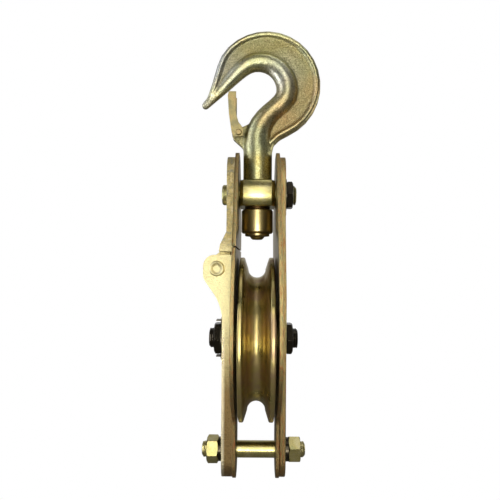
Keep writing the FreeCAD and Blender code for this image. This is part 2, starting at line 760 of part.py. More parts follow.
def build_straps():
    wide = "2 * dims.strap_half"
    top, low = "dims.strap_top", "-dims.strap_bottom"
    plate = "dims.plate_thick"

    right = new_body("right_strap", z=AXLE_Z)
    outer = plate + " + dims.right_strap_thick"
    side_profile(right, [
        ("dims.gap_low + " + plate, low), ("dims.gap_low + " + outer, low),
        ("dims.gap_low + " + outer, "dims.bend_low"), ("dims.gap_high + " + outer, "dims.bend_high"),
        ("dims.gap_high + " + outer, top), ("dims.gap_high + " + plate, top),
        ("dims.gap_high + " + plate, "dims.bend_high"), ("dims.gap_low + " + plate, "dims.bend_low"),
    ], wide)
    round_ends(right, (size("strap_top"), -size("strap_bottom")))
    stud_holes(right, JOURNAL, AXLE, TIE)
    keep(right, "right_strap")

    # the lower left strap ends in two ears that carry the hinge pin outside the strap
    left = new_body("left_strap", z=AXLE_Z)
    inner = "-(%s + %s)" % (gap_at("dims.ear_top"), plate)
    side_profile(left, [
        ("-(dims.gap_low + %s)" % plate, low), ("-" + LEFT_FACE, low), ("-" + LEFT_FACE, "dims.ear_root"),
        ("-dims.ear_out", "dims.ear_low"), ("-dims.ear_out", "dims.ear_top"), (inner, "dims.ear_top"),
        ("-(dims.gap_low + %s)" % plate, "dims.bend_low"),
    ], wide)
    round_ends(left, (-size("strap_bottom"),))
    ear_out = size("ear_out")

    def on_cam(edge):
        return along(edge, V(0, 1, 0)) and abs(edge.Vertexes[0].X + ear_out) < 0.01

    round_edges(left, "Fillet", "dims.ear_round", on_cam)
    slot = sketch(left, "YZ_Plane")
    reach = "2 * dims.ear_top"
    polygon(slot, [("-dims.clevis_half", "dims.clevis_floor"), ("dims.clevis_half", "dims.clevis_floor"),
                   ("dims.clevis_half", reach), ("-dims.clevis_half", reach)])
    pocket(left, slot)
    pocket(left, circle(sketch(left, "XZ_Plane"), "-dims.hinge_out", "dims.hinge_rise", "dims.hinge_pin_radius"))
    stud_holes(left, AXLE, TIE)
    keep(left, "left_strap")


def build_arm():
    arm = new_body("arm_strap", z=AXLE_Z)
    plate, outer = "dims.plate_thick", "dims.plate_thick + dims.arm_strap_thick"
    side_profile(arm, [
        ("-(%s + %s)" % (gap_at("dims.arm_bottom"), plate), "dims.arm_bottom"),
        ("-dims.flare_out", "dims.arm_bottom"), ("-dims.flare_mid_out", "dims.flare_mid"),
        ("-(%s + %s)" % (gap_at("dims.flare_top"), outer), "dims.flare_top"),
        ("-(dims.gap_high + %s)" % outer, "dims.bend_high + dims.edge"),
        ("-(dims.gap_high + %s)" % outer, "dims.strap_top"),
        ("-(dims.gap_high + %s)" % plate, "dims.strap_top"), ("-(dims.gap_high + %s)" % plate, "dims.bend_high"),
    ], "2 * dims.strap_half")
    round_ends(arm, (size("strap_top"),))
    journal_slot(arm)
    stud_holes(arm, *RIVETS)

    # tongue between the ears, with the eye that turns on the hinge pin
    inside = "-(dims.hinge_out - dims.eye_radius)"
    side_profile(arm, [
        (inside, "dims.hinge_rise"), (inside, "dims.arm_bottom + dims.tongue_lap"),
        ("-dims.flare_out + dims.edge", "dims.arm_bottom + dims.tongue_lap"),
        ("-dims.flare_out", "dims.arm_bottom"), ("-(dims.hinge_out + dims.eye_radius * 0.8)",
                                                 "dims.hinge_rise + dims.eye_radius * 0.6"),
        ("-dims.hinge_out", "dims.hinge_rise"),
    ], "2 * dims.tongue_half")
    pad(arm, circle(sketch(arm, "XZ_Plane"), "-dims.hinge_out", "dims.hinge_rise", "dims.eye_radius"),
        "2 * dims.tongue_half")
    pocket(arm, circle(sketch(arm, "XZ_Plane"), "-dims.hinge_out", "dims.hinge_rise",
                       "dims.hinge_pin_radius + dims.run_fit"))
    keep(arm, "arm_strap")

    inner, outer = "-dims.gap_high", "-(dims.gap_high + dims.plate_thick + dims.arm_strap_thick)"
    radius, small = "dims.arm_rivet_radius", "dims.arm_rivet_radius - dims.edge / 2"
    for name, rise in (("arm_rivet_lower", "dims.rivet_low"), ("arm_rivet_upper", "dims.rivet_high")):
        rivet = turned_x(name, [
            (outer, "0"), (outer, small), (outer + " + dims.edge / 2", radius),
            (inner + " - dims.edge / 2", radius), (inner, small), (inner, "0"),
        ], z="%s + %s" % (rise, AXLE_Z))
        keep(rivet, name)


def build_hinge_pin():
    at = ("-dims.hinge_out", "0", "dims.hinge_rise + " + AXLE_Z)
    front, back = "-dims.strap_half", "dims.strap_half"
    pin, head = "dims.hinge_pin_radius", "dims.hinge_head_radius"
    seat = back + " + 2 * dims.side_fit"
    groove_end = seat + " + dims.ring_thick + dims.side_fit"
    neck = pin + " - dims.ring_groove"
    face = front + " - dims.hinge_head"
    keep(turned_y("hinge_pin", [
        ("0", face + " + dims.head_dish"), (head + " * 0.45", face + " + dims.head_dish"),
        (head + " * 0.75", face), (head + " - dims.edge", face), (head, face + " + dims.edge"), (head, front),
        (pin, front), (pin, back), (neck, back), (neck, groove_end), (pin, groove_end),
        (pin, groove_end + " + dims.lead"), (neck, groove_end + " + 1.5 * dims.lead"),
        ("0", groove_end + " + 1.5 * dims.lead"),
    ], *at), "hinge_pin")
    brim, bore = pin + " + dims.ring_width", neck + " + dims.run_fit"
    ring = turned_y("hinge_ring", [
        (bore, seat), (brim, seat), (brim, seat + " + dims.ring_thick"), (bore, seat + " + dims.ring_thick"),
    ], *at)
    mouth, below = "dims.ring_width", "2 * dims.hinge_pin_radius"
    gap = polygon(sketch(ring, "XZ_Plane"), [("-%s * 0.85" % mouth, "0"), (mouth + " * 0.85", "0"),
                                             (mouth + " * 1.3", "-" + below), ("-%s * 1.3" % mouth, "-" + below)])
    pocket(ring, gap)
    keep(ring, "hinge_ring")


# Sheave on its axle

def build_sheave():
    sheave = new_body("sheave", z=AXLE_Z)
    half, rim = "dims.sheave_half", "dims.sheave_radius"
    mouth = "dims.sheave_half - dims.rim_land"
    deep = "dims.sheave_radius - dims.groove_depth + dims.groove_radius"
    right = [
        (half, "dims.bush_radius"), (half, "dims.hub_radius"), ("dims.sheave_web_half", "dims.hub_foot"),
        ("dims.sheave_web_half", "dims.web_edge"), (half + " - dims.rim_inset", "dims.inner_rim_radius"),
        (half + " - dims.edge", rim + " - 2 * dims.rim_land"), (half, rim + " - dims.rim_land"),
        (half, rim + " - dims.rim_edge"), (half + " - dims.rim_edge", rim), (mouth + " + dims.rim_edge", rim),
        (mouth, rim + " - dims.rim_edge"), ("dims.groove_radius", deep),
    ]
    left = [("-(%s)" % x, radius) for x, radius in reversed(right)]
    revolve(sheave, polygon(sketch(sheave, "XY_Plane"), right + left), "H_Axis")
    groove = circle(sketch(sheave, "XY_Plane"), "0", deep, "dims.groove_radius")
    revolve(sheave, groove, "H_Axis", "PartDesign::Groove")
    keep(sheave, "sheave")

    keep(turned_x("sheave_bush", [
        ("-dims.sheave_half", "dims.axle_radius + dims.run_fit"), ("dims.sheave_half", "dims.axle_radius + dims.run_fit"),
        ("dims.sheave_half", "dims.bush_radius"), ("-dims.sheave_half", "dims.bush_radius"),
    ], z=AXLE_Z), "sheave_bush")
    thick = "(dims.gap_low - dims.sheave_half - dims.side_fit)"
    bore, brim = "dims.axle_radius + dims.hole_fit", "dims.hub_washer_radius"
    keep(ring_x("side_washer_left", bore, brim, thick, "-dims.gap_low", AXLE_Z), "side_washer_left")
    keep(ring_x("side_washer_right", bore, brim, thick, "dims.sheave_half + dims.side_fit", AXLE_Z),
         "side_washer_right")


def shouldered_bar(name, left_end, right_end, stud, middle, lead, level):
    """Bar between the cheeks with a thinner stud through each of them."""
    small = "%s - %s" % (stud, lead)
    keep(turned_x(name, [
        ("-" + left_end, "0"), ("-" + left_end, small), ("-%s + %s" % (left_end, lead), stud),
        ("-dims.gap_low", stud), ("-dims.gap_low", middle), ("dims.gap_low", middle), ("dims.gap_low", stud),
        ("%s - %s" % (right_end, lead), stud), (right_end, small), (right_end, "0"),
    ], z=level), name)


def build_axle():
    left_seat = "(%s + dims.axle_washer_thick)" % LEFT_FACE
    left_end = "(%s + dims.axle_nut_thick + dims.axle_proud)" % left_seat
    right_end = "(%s + dims.axle_nut_thick + dims.axle_proud)" % RIGHT_FACE
    stud = "dims.axle_stud_radius"
    shouldered_bar("axle", left_end, right_end, stud, "dims.axle_radius", "dims.lead", AXLE_Z)
    hex_nut("axle_nut_right", "dims.axle_nut_across", "dims.axle_nut_thick", stud, RIGHT_FACE, AXLE_Z, 0)
    hex_nut("axle_nut_left", "dims.axle_nut_across", "dims.axle_nut_thick", stud,
            "-(%s + dims.axle_nut_thick)" % left_seat, AXLE_Z, 0)

    # locking washer with tabs turned up beside the nut's flats
    washer = ring_x("axle_tab_washer", stud, "dims.axle_washer_radius", "dims.axle_washer_thick", "-" + left_seat,
                    AXLE_Z)
    near = "dims.axle_nut_across / 2 / cos(30 deg) + 3 * dims.side_fit"
    for side in ("", "-"):
        tab = sketch(washer, "YZ_Plane")
        polygon(tab, [("-dims.tab_width / 2", "%s(%s)" % (side, near)), ("dims.tab_width / 2", "%s(%s)" % (side, near)),
                      ("dims.tab_width / 2", "%s(%s + dims.tab_sheet)" % (side, near)),
                      ("-dims.tab_width / 2", "%s(%s + dims.tab_sheet)" % (side, near))])
        feature = pad(washer, tab, "dims.tab_rise", both_ways=False)
        feature.Reversed = True
    keep(washer, "axle_tab_washer")


def spring_washer(name, x):
    """Split spring washer across the X axis, its slit cut at a slant."""
    washer = ring_x(name, "dims.tie_stud_radius + dims.hole_fit", "dims.tie_washer_radius", "dims.tie_washer_thick",
                    x, "%s - dims.tie_drop" % AXLE_Z)
    cut = sketch(washer, "XY_Plane")
    lean, slit = "dims.tie_washer_thick * 0.6", "dims.slit"
    beyond = "(dims.tie_washer_thick * 1.3)"
    polygon(cut, [("-%s + dims.tie_washer_thick" % beyond, "-%s - %s" % (slit, lean)), (beyond, lean),
                  (beyond, "%s + %s" % (slit, lean)), ("-%s + dims.tie_washer_thick" % beyond, "-" + lean)])
    feature = pocket(washer, cut, "3 * dims.tie_washer_radius")
    feature.Midplane = False
    keep(washer, name)


def build_tie():
    left_seat = "(%s + dims.tie_washer_thick)" % LEFT_FACE
    right_seat = "(%s + dims.tie_washer_thick)" % RIGHT_FACE
    left_end = "(%s + dims.tie_nut_thick + dims.tie_proud)" % left_seat
    right_end = "(%s + dims.tie_nut_thick + dims.tie_proud)" % right_seat
    level = "%s - dims.tie_drop" % AXLE_Z
    stud = "dims.tie_stud_radius"
    shouldered_bar("tie_stud", left_end, right_end, stud, "dims.tie_radius", "dims.tie_lead", level)
    spring_washer("tie_washer_left", "-" + left_seat)
    spring_washer("tie_washer_right", RIGHT_FACE)
    hex_nut("tie_nut_left", "dims.tie_nut_across", "dims.tie_nut_thick", stud,
            "-(%s + dims.tie_nut_thick)" % left_seat, level, 30)
    hex_nut("tie_nut_right", "dims.tie_nut_across", "dims.tie_nut_thick", stud, right_seat, level, 0)


build_hook()
build_latch()
build_crosshead()
build_guard_plates()
build_straps()
build_arm()
build_hinge_pin()
build_sheave()
build_axle()
build_tie()
doc.recompute()

faults = [item.Name for item in doc.Objects if {"Invalid", "Error"} & set(item.State)]
for node in nodes:
    if node.Shape.isNull() or not node.Shape.isValid():
        faults.append(node.Label)
if faults:
    raise RuntimeError("not built: " + ", ".join(faults))

os.makedirs("parts", exist_ok=True)
for node in nodes:
    node.Shape.exportStep("parts/%s.step" % node.Label)
    print(node.Label, len(node.Shape.Solids), round(node.Shape.Volume, 1))
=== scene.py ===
import json
import math

import bmesh
import bpy
from mathutils import Matrix, Vector


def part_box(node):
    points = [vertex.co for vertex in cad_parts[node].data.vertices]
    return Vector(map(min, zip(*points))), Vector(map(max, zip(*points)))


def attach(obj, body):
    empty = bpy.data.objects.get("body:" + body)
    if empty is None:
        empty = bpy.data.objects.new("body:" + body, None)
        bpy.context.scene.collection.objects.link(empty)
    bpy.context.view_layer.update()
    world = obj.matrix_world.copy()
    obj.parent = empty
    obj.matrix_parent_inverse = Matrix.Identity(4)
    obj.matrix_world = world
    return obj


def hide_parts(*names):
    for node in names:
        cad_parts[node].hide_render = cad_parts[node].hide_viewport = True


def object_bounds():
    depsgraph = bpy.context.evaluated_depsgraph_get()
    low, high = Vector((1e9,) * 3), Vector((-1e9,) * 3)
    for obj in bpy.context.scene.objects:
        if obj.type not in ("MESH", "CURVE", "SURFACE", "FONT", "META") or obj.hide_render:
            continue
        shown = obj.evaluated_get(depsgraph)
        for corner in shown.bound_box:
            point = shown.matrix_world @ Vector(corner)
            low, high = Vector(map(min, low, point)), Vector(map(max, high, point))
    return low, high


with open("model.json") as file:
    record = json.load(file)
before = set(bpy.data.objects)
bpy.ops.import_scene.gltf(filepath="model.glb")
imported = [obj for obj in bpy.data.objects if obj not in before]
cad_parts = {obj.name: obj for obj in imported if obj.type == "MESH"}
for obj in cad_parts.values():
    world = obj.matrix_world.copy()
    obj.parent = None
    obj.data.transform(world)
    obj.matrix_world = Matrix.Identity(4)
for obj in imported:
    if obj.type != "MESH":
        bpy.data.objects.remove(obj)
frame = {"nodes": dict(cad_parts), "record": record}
cad_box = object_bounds()

MM = 0.001
nodes = frame["nodes"]
body_of = {member: body for body, members in frame["record"]["behaviour"]["bodies"].items()
           for member in members}
slot_of = {row["node"]: row["material_slot"] for row in frame["record"]["subparts"]}


# Materials

# Places on the block that the finishes follow, in metres
WEB_HALF = (0.0036, 0.0044)         # depths at which the hook's web ends and its bar and rim begin
ARM_FOOT = (-0.155, -0.140)         # heights over which the arm's own mottling sets in
BAR_FOOT = (-0.25, -0.29)           # heights over which the lower bars turn darker brown, as painted shade
BAR_LEFT_HIGHLIGHT = (-0.028, -0.030)       # from here outwards the lower left bar's front faces get a painted highlight
BAR_WEAR_AND_HIGHLIGHT = (-0.205, -0.24)        # heights over which the corner wear and that painted highlight set in
PLATE_FOOT = (-0.22, -0.30)         # heights over which the plates' edges turn rosy brown and darker, with painted shade
PLATE_LEFT = (-0.018, -0.020)       # from here outwards a plate belongs to the left cheek
PLATE_ARM = (-0.175, -0.155)        # heights over which the arm's plate takes over from the lower one
PLATE_INNER = (0.019, 0.020)        # distances from the middle plane at which the plates' inner faces end

EAR_MM = (-36, -20, -192)           # the hinge ears, worn smooth and given a painted highlight, and how far both reach
EAR_REACH_MM = 90
PATCH_CORE = 0.25                   # share of a patch's reach over which it is at its full strength

# Where the hook's colour changes: centre and reach in millimetres, colour, and how strongly. The
# pale silvery patches are painted reflections of a cool light, the near-white one at the tip is a
# painted highlight, and the olive, rosy, green-grey and yellow ones are the chromate film's own tint
FILM_TINTS_AND_PAINTED_LIGHTS = (
    # painted reflection of a cool light on the bowl's upper right
    ((22, 0, 12), 27, "#C9CBC0", 0.9),
    # painted reflection of a cool light on the left side
    ((-40, 0, 22), 34, "#C9CCC8", 0.9),
    # painted highlight at the tip
    ((-50, 0, -17), 15, "#EFEEE6", 1.0),
    # painted reflection of the light above, on the top
    ((0, 0, 54), 22, "#C2C1AC", 0.5),
    ((6, 0, 40), 24, "#A5A664", 0.5),
    ((20, 0, -30), 26, "#CC9E70", 0.75),
    ((42, 0, -14), 30, "#BF946A", 0.7),
    ((-8, 0, -50), 18, "#B7BE9A", 0.6),
    ((4, 0, -74), 26, "#C9B95E", 0.7),
)


def linear(code):
    """Linear colour of an sRGB hex value."""
    parts = [int(code[i:i + 2], 16) / 255 for i in (1, 3, 5)]
    return [p / 12.92 if p <= 0.04045 else ((p + 0.055) / 1.055) ** 2.4 for p in parts] + [1.0]


def add(tree, kind, inputs=(), stops=(), **settings):
    """Adds a shader node. inputs, by name or in the node's own order, holds values, outputs, or nodes,
    which give their first live output; stops holds a colour ramp's places and hex colours."""
    made = tree.nodes.new("ShaderNode" + kind)
    for name, value in settings.items():
        setattr(made, name, value)
    for key, value in (inputs if isinstance(inputs, dict) else dict(enumerate(inputs))).items():
        if isinstance(value, bpy.types.Node):
            value = next(output for output in value.outputs if output.enabled)
        if isinstance(value, bpy.types.NodeSocket):
            tree.links.new(value, made.inputs[key])
        else:
            made.inputs[key].default_value = value
    if stops:
        band = made.color_ramp.elements
        while len(band) < len(stops):
            band.new(0.5)
        for element, (at, code) in zip(band, stops):
            element.position, element.color = at, linear(code)
    return made


def new_material(name):
    """Empty material, its node tree and the object's own coordinates."""
    made = bpy.data.materials.new(name)
    made.use_nodes = True
    tree = made.node_tree
    tree.nodes.clear()
    return made, tree, add(tree, "TexCoord").outputs["Object"]


def per_metre(size_mm):
    """Texture scale at which one feature is about that long."""
    return 1 / (size_mm * MM)


def laid_over(tree, under, over, pattern, low, high, amount=1.0):
    """A colour over another: not at all where the pattern is low, and by the amount where it is high."""
    share = add(tree, "MapRange", (pattern, low, high, 0.0, amount))
    over = linear(over) if isinstance(over, str) else over
    return add(tree, "Mix", {"Factor": share, "A": under, "B": over}, data_type="RGBA")


def face_turned(tree, axis):
    """How far a surface faces along one of the object's own axes, from 0 to 1."""
    facing = add(tree, "SeparateXYZ", (add(tree, "TexCoord").outputs["Normal"],))
    return add(tree, "Math", (facing.outputs[axis],), operation="ABSOLUTE")


def near(tree, place, centre_mm, reach_mm):
    """Soft patch on the object: 1 round a point given in millimetres, 0 beyond its reach."""
    away = add(tree, "VectorMath", (place, tuple(c * MM for c in centre_mm)), operation="DISTANCE")
    return add(tree, "MapRange", (away, PATCH_CORE * reach_mm * MM, reach_mm * MM, 1.0, 0.0))


def turned_marks(tree, place, centre, pitch_mm):
    """Noise that only changes along a turned part's X axis and its radius, as tool marks do."""
    moved = add(tree, "Mapping", {"Vector": place, "Location": tuple(-c for c in centre)},
                vector_type="POINT")
    split = add(tree, "SeparateXYZ", (moved,))
    flat = add(tree, "CombineXYZ", {"Y": split.outputs["Y"], "Z": split.outputs["Z"]})
    radius = add(tree, "VectorMath", (flat,), operation="LENGTH")
    marks = add(tree, "CombineXYZ", {"X": split.outputs["X"], "Y": radius})
    return add(tree, "TexNoise", {"Vector": marks, "Scale": per_metre(pitch_mm), "Detail": 2.0})


def as_metal(tree, colour, gloss, relief, strength, depth_mm):
    """Ends a material as metal of this colour, with its roughness and relief."""
    bump = add(tree, "Bump", {"Height": relief, "Strength": strength, "Distance": depth_mm * MM})
    shader = add(tree, "BsdfPrincipled", {"Metallic": 1.0, "Base Color": colour, "Roughness": gloss,
                                          "Normal": bump})
    add(tree, "OutputMaterial", {"Surface": shader})


def forged_zinc():
    # drop-forged steel, shot blasted, zinc plated and yellow chromated: a satin skin with a fine grit
    # whose colour drifts from straw to green, rosy where the chromate film is thick, with pale silvery
    # patches that are painted reflections and a painted highlight at the tip; the flat web between the
    # dies is coarser than the rounded bar, and the creases are darkened as painted shade.
    # The grit is drawn at 1.3 mm, coarser than the real one of about 0.4 mm, so that it shows
    made, tree, place = new_material("forged_yellow_zinc")
    depth = add(tree, "Math", (add(tree, "SeparateXYZ", (place,)).outputs["Y"],), operation="ABSOLUTE")
    web = add(tree, "MapRange", (depth, *WEB_HALF, 1.0, 0.0))
    cloudy = add(tree, "TexNoise", {"Vector": place, "Scale": per_metre(16), "Detail": 3.0})
    grit = add(tree, "TexNoise", {"Vector": place, "Scale": per_metre(1.3), "Detail": 4.0,
                                  "Roughness": 0.65})
    dents = add(tree, "TexNoise", {"Vector": place, "Scale": per_metre(4.5), "Detail": 3.0})

    colour = add(tree, "ValToRGB", (cloudy,), ((0.36, "#B1B48C"), (0.5, "#BFBB8B"), (0.64, "#C9B884")))
    colour = laid_over(tree, colour, "#AB9E66", web, 0.0, 1.0, 0.6)
    uneven = add(tree, "MapRange", (cloudy, 0.3, 0.6, 0.5, 1.0))
    off_web = add(tree, "MapRange", (web, 0.0, 1.0, 1.0, 0.55))
    film_and_painted_light = add(tree, "Math", (uneven, off_web), operation="MULTIPLY")
    # the silvery patches lay on painted reflections and the tip one a painted highlight; the rest tint the
    # film
    for centre_mm, reach_mm, code, amount in FILM_TINTS_AND_PAINTED_LIGHTS:
        patch = add(tree, "Math", (near(tree, place, centre_mm, reach_mm), film_and_painted_light), operation="MULTIPLY")
        colour = laid_over(tree, colour, code, patch, 0.0, 1.0, amount)
    colour = laid_over(tree, colour, "#6A6038", grit, 0.5, 0.66, 0.7)
    colour = laid_over(tree, colour, "#EFE6B6", grit, 0.45, 0.34, 0.6)
    # darker in the creases between bar, web and rim: painted shade
    crease = add(tree, "NewGeometry").outputs["Pointiness"]
    colour = laid_over(tree, colour, "#4E4526", crease, 0.495, 0.44, 0.5)
    colour = laid_over(tree, colour, "#D6D2B4", crease, 0.52, 0.58, 0.5)

    satin = add(tree, "MapRange", (dents, 0.3, 0.7, 0.28, 0.39))
    gloss = add(tree, "Math", (web, 0.12, satin), operation="MULTIPLY_ADD")
    coarse = add(tree, "MapRange", (web, 0.0, 1.0, 0.7, 2.2))
    rough = add(tree, "Math", (grit, coarse), operation="MULTIPLY")
    relief = add(tree, "Math", (dents, 0.5, rough), operation="MULTIPLY_ADD")
    as_metal(tree, colour, gloss, relief, strength=0.72, depth_mm=0.4)
    return made


def forged_bar():
    # forged flat bar, zinc plated and yellow chromated: rougher than the hook, with scale marks and
    # dents, worn smooth round the hinge ears, whose cream colour is a painted highlight, mottled on the
    # arm, darker brown at the foot as painted shade, and pale on the foot's corners from wear and along
    # its left edge as a painted highlight. The grit is drawn at 1.2 mm to show, as on the hook
    made, tree, place = new_material("forged_bar_yellow_zinc")
    spot = add(tree, "SeparateXYZ", (place,))
    across, height = spot.outputs["X"], spot.outputs["Z"]
    drawn_out = add(tree, "Mapping", {"Vector": place, "Scale": (1.0, 1.0, 0.35)})
    cloudy = add(tree, "TexNoise", {"Vector": drawn_out, "Scale": per_metre(9), "Detail": 3.0})
    grit = add(tree, "TexNoise", {"Vector": place, "Scale": per_metre(1.2), "Detail": 4.0,
                                  "Roughness": 0.65})
    dents = add(tree, "TexNoise", {"Vector": place, "Scale": per_metre(5), "Detail": 3.0})
    ear = near(tree, place, EAR_MM, EAR_REACH_MM)
    arm = add(tree, "MapRange", (height, *ARM_FOOT))
    front = face_turned(tree, "Y")
    corner = add(tree, "Math", (face_turned(tree, "X"), front), operation="MULTIPLY")
    # a lighter strip on the left of the lower bar's front faces: painted highlight
    painted_left_highlight = add(tree, "Math", (add(tree, "MapRange", (across, *BAR_LEFT_HIGHLIGHT)), front), operation="MULTIPLY")
    worn_and_painted_highlight = add(tree, "Math", (add(tree, "MapRange", (corner, 0.2, 0.42)), painted_left_highlight), operation="MAXIMUM")
    worn_and_painted_highlight = add(tree, "Math", (worn_and_painted_highlight, add(tree, "MapRange", (height, *BAR_WEAR_AND_HIGHLIGHT))), operation="MULTIPLY")

    colour = add(tree, "ValToRGB", (cloudy,), ((0.36, "#98875B"), (0.5, "#AE9566"), (0.64, "#B8A26C")))
    # darker brown towards the foot: painted shade
    colour = laid_over(tree, colour, "#866B46", height, *BAR_FOOT, 0.75)
    # cream round the hinge ears: painted highlight
    colour = laid_over(tree, colour, "#F2E7B2", ear, 0.0, 1.0)
    mottled = add(tree, "ValToRGB", (dents,), ((0.34, "#9F9C86"), (0.5, "#C4B27A"), (0.66, "#D8CAA4")))
    colour = laid_over(tree, colour, mottled, arm, 0.0, 1.0)
    off_ear = add(tree, "MapRange", (ear, 0.0, 1.0, 1.0, 0.3))
    specks = add(tree, "Math", (add(tree, "MapRange", (grit, 0.5, 0.66)), off_ear), operation="MULTIPLY")
    colour = laid_over(tree, colour, "#6B5B3C", specks, 0.0, 1.0, 0.62)
    # pale on the corners from wear and on the left edge as painted highlight
    colour = laid_over(tree, colour, "#F6E9C6", worn_and_painted_highlight, 0.0, 1.0, 0.85)

    gloss = add(tree, "MapRange", (ear, 0.0, 1.0, 0.44, 0.32))
    gloss = add(tree, "Math", (arm, 0.08, gloss), operation="MULTIPLY_ADD")
    gloss = add(tree, "Math", (worn_and_painted_highlight, -0.12, gloss), operation="MULTIPLY_ADD")
    pitted = add(tree, "MapRange", (arm, 0.0, 1.0, 0.7, 2.3))
    relief = add(tree, "Math", (dents, pitted, grit), operation="MULTIPLY_ADD")
    as_metal(tree, colour, gloss, relief, strength=1.0, depth_mm=0.6)
    return made


def pressed_zinc():
    # pressed sheet, zinc plated and yellow chromated: dull straw with a fine grain, drawn at 0.9 mm so
    # that it shows
    made, tree, place = new_material("pressed_sheet_yellow_zinc")
    cloudy = add(tree, "TexNoise", {"Vector": place, "Scale": per_metre(8), "Detail": 3.0})
    grain = add(tree, "TexNoise", {"Vector": place, "Scale": per_metre(0.9), "Detail": 4.0,
                                   "Roughness": 0.6})
    colour = add(tree, "ValToRGB", (cloudy,), ((0.36, "#8F8765"), (0.5, "#A89A6C"), (0.64, "#AE986C")))
    colour = laid_over(tree, colour, "#6F6547", grain, 0.5, 0.72, 0.4)
    gloss = add(tree, "MapRange", (grain, 0.3, 0.7, 0.42, 0.5))
    as_metal(tree, colour, gloss, grain, strength=0.5, depth_mm=0.25)
    return made


def plate_zinc():
    # rolled plate, zinc plated and yellow chromated: the broad faces are smooth with cloudy tints, darker
    # on the inside as painted shade, and the sheared edges are rough, with long streaks in rosy brown,
    # straw and green, darker on the arm's plate as painted shade and browner towards the foot, with
    # painted shade there. Streaks and grain are drawn at 0.8 to 0.9 mm, coarser than the real ones,
    # so that they show
    made, tree, place = new_material("plate_yellow_zinc")
    spot = add(tree, "SeparateXYZ", (place,))
    across, height = spot.outputs["X"], spot.outputs["Z"]
    broad = add(tree, "MapRange", (face_turned(tree, "X"), 0.6, 0.8))
    drawn_out = add(tree, "Mapping", {"Vector": place, "Scale": (1.0, 1.0, 0.07)})
    streak = add(tree, "TexNoise", {"Vector": drawn_out, "Scale": per_metre(0.9), "Detail": 4.0,
                                    "Roughness": 0.6})
    drift = add(tree, "TexNoise", {"Vector": place, "Scale": per_metre(24), "Detail": 3.0})
    grain = add(tree, "TexNoise", {"Vector": place, "Scale": per_metre(0.8), "Detail": 4.0,
                                   "Roughness": 0.6})

    left = add(tree, "MapRange", (across, *PLATE_LEFT))
    arm = add(tree, "Math", (left, add(tree, "MapRange", (height, *PLATE_ARM))), operation="MULTIPLY")
    edge = add(tree, "ValToRGB", (streak,), ((0.36, "#8F8C66"), (0.46, "#BAA772"), (0.56, "#C1A36E"),
                                             (0.66, "#AC6B42")))
    # darker on the arm's plate: painted shade
    edge = laid_over(tree, edge, "#4A422C", arm, 0.0, 1.0, 0.65)
    # rosy brown streaks, darker towards the foot: tint with painted shade
    rosy_streaks_and_shade = add(tree, "ValToRGB", (streak,), ((0.42, "#74603C"), (0.54, "#8A6A42"), (0.64, "#944E34")))
    edge = laid_over(tree, edge, rosy_streaks_and_shade, height, *PLATE_FOOT, 0.6)
    edge = laid_over(tree, edge, "#6F5F3E", grain, 0.5, 0.7, 0.6)

    aside = add(tree, "Math", (across,), operation="ABSOLUTE")
    inside = add(tree, "MapRange", (aside, *PLATE_INNER, 1.0, 0.0))
    cloud = add(tree, "ValToRGB", (drift,), ((0.34, "#BDB68A"), (0.5, "#CBBA84"), (0.66, "#D2B58A")))
    painted_shade_inside = add(tree, "ValToRGB", (drift,), ((0.34, "#6E6A49"), (0.5, "#84764C"), (0.66, "#7E6645")))
    # darker on the plates' inner faces: painted shade
    cloud = laid_over(tree, cloud, painted_shade_inside, inside, 0.0, 1.0, 0.75)
    colour = laid_over(tree, edge, cloud, broad, 0.0, 1.0)

    dull = add(tree, "MapRange", (broad, 0.0, 1.0, 0.44, 0.38))
    streaky = add(tree, "MapRange", (streak, 0.35, 0.65, -0.06, 0.06))
    gloss = add(tree, "Math", (dull, streaky), operation="ADD")
    sheared = add(tree, "MapRange", (broad, 0.0, 1.0, 1.2, 0.0))
    rolled = add(tree, "MapRange", (broad, 0.0, 1.0, 1.0, 0.35))
    relief = add(tree, "Math", (streak, sheared, grain), operation="MULTIPLY_ADD")
    relief = add(tree, "Math", (relief, rolled), operation="MULTIPLY")
    as_metal(tree, colour, gloss, relief, strength=0.8, depth_mm=0.4)
    return made


def sheave_zinc():
    # turned steel, zinc plated and yellow chromated: tool marks run round the rope groove, drawn at
    # 0.7 mm, coarser than the real ones, so that they show, and the tint goes cloudy brown where rope
    # has worn it
    made, tree, place = new_material("turned_sheave_zinc")
    low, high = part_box("sheave")
    marks = turned_marks(tree, place, (low + high) / 2, 0.7)
    drift = add(tree, "TexNoise", {"Vector": place, "Scale": per_metre(17), "Detail": 3.0})
    waves = add(tree, "TexNoise", {"Vector": place, "Scale": per_metre(13), "Detail": 1.0})
    colour = add(tree, "ValToRGB", (drift,), ((0.34, "#B1A66C"), (0.5, "#BDAA70"), (0.66, "#B59A76")))
    streaky = add(tree, "MapRange", (marks, 0.35, 0.65, -0.02, 0.02))
    dull = add(tree, "MapRange", (drift, 0.3, 0.7, 0.25, 0.42))
    gloss = add(tree, "Math", (streaky, dull), operation="ADD")
    relief = add(tree, "Math", (marks, 0.08, waves), operation="MULTIPLY_ADD")
    as_metal(tree, colour, gloss, relief, strength=0.6, depth_mm=1.2)
    return made


def turned_zinc():
    # turned and polished steel under a thin gold chromate: soft broad gleams, golden brown
    made, tree, place = new_material("bright_turned_zinc")
    marks = add(tree, "TexNoise", {"Vector": place, "Scale": per_metre(3), "Detail": 3.0})
    colour = laid_over(tree, linear("#D6C48E"), "#CDB77F", marks, 0.0, 1.0)
    gloss = add(tree, "MapRange", (marks, 0.3, 0.7, 0.28, 0.34))
    as_metal(tree, colour, gloss, marks, strength=0.05, depth_mm=0.1)
    return made


